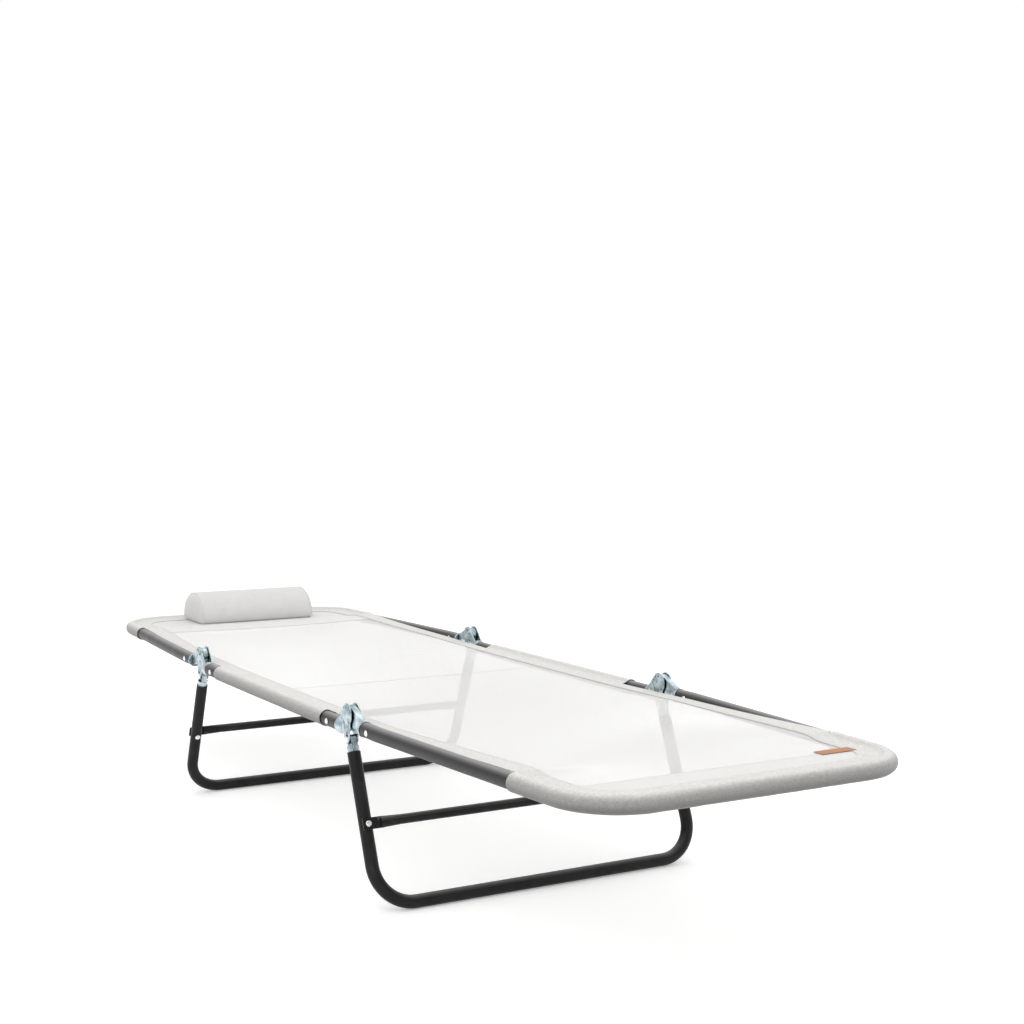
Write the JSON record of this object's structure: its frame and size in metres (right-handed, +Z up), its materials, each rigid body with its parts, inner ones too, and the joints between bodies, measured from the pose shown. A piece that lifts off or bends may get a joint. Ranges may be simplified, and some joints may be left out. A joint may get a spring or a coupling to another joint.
{
  "type": "folding cot",
  "caption": "Folding camp cot: black tube frame in three hinged sections, white mesh fabric, fold-in legs, small head pillow.",
  "frame": {"origin": "on the floor under the middle of the cot, at the bottom centre of its bounding box", "axes": "+Z up, +Y along the cot towards the head end, +X across the cot"},
  "size_m": [0.5858, 1.9186, 0.3342],
  "materials": {
    "black_paint": "semi-gloss black powder coat",
    "zinc_plate": "bright zinc plating, slightly blue",
    "rivet_steel": "bright steel rivets",
    "mesh_fabric": "cream-white coated mesh, thin enough to let some light through",
    "pillow_fabric": "light grey woven cover with piped seams",
    "tag_leather": "plain tan leather, unprinted"
  },
  "bodies": {
    "middle": {"head_left_hub": "zinc_plate", "head_left_main_pin": "rivet_steel", "head_left_leg_pin": "rivet_steel", "head_left_rail_rivet": "rivet_steel", "head_right_hub": "zinc_plate", "head_right_main_pin": "rivet_steel", "head_right_leg_pin": "rivet_steel", "head_right_rail_rivet": "rivet_steel", "foot_left_hub": "zinc_plate", "foot_left_main_pin": "rivet_steel", "foot_left_leg_pin": "rivet_steel", "foot_left_rail_rivet": "rivet_steel", "foot_right_hub": "zinc_plate", "foot_right_main_pin": "rivet_steel", "foot_right_leg_pin": "rivet_steel", "foot_right_rail_rivet": "rivet_steel", "middle_rail_left": "black_paint", "middle_sleeve_left": "mesh_fabric", "middle_rail_right": "black_paint", "middle_sleeve_right": "mesh_fabric", "middle_panel": "mesh_fabric"},
    "head": {"head_frame_tube": "black_paint", "head_pocket": "mesh_fabric", "head_panel": "mesh_fabric", "head_bridge": "mesh_fabric", "head_left_arm": "zinc_plate", "head_left_frame_rivet": "rivet_steel", "head_right_arm": "zinc_plate", "head_right_frame_rivet": "rivet_steel", "pillow": "pillow_fabric"},
    "foot": {"foot_frame_tube": "black_paint", "foot_pocket": "mesh_fabric", "foot_panel": "mesh_fabric", "foot_bridge": "mesh_fabric", "foot_left_arm": "zinc_plate", "foot_left_frame_rivet": "rivet_steel", "foot_right_arm": "zinc_plate", "foot_right_frame_rivet": "rivet_steel", "leather_tag": "tag_leather"},
    "head_leg": {"head_leg_tube": "black_paint", "head_crossbar": "black_paint", "head_left_leg_bracket": "zinc_plate", "head_left_crossbar_rivet": "rivet_steel", "head_right_leg_bracket": "zinc_plate", "head_right_crossbar_rivet": "rivet_steel"},
    "foot_leg": {"foot_leg_tube": "black_paint", "foot_crossbar": "black_paint", "foot_left_leg_bracket": "zinc_plate", "foot_left_crossbar_rivet": "rivet_steel", "foot_right_leg_bracket": "zinc_plate", "foot_right_crossbar_rivet": "rivet_steel"}
  },
  "joints": [
    {"name": "head_fold", "type": "hinge", "parent": "middle", "child": "head", "pos_m": [0, 0.3325, 0.277], "axis": [1, 0, 0], "range_deg": [0, 180], "deforming": ["head_bridge", "pillow"]},
    {"name": "foot_fold", "type": "hinge", "parent": "middle", "child": "foot", "pos_m": [0, -0.3325, 0.277], "axis": [-1, 0, 0], "range_deg": [0, 173], "deforming": ["foot_bridge"]},
    {"name": "head_leg_fold", "type": "hinge", "parent": "middle", "child": "head_leg", "pos_m": [0, 0.3325, 0.2395], "axis": [-1, 0, 0], "range_deg": [0, 98]},
    {"name": "foot_leg_fold", "type": "hinge", "parent": "middle", "child": "foot_leg", "pos_m": [0, -0.3325, 0.2395], "axis": [1, 0, 0], "range_deg": [0, 98]}
  ]
}
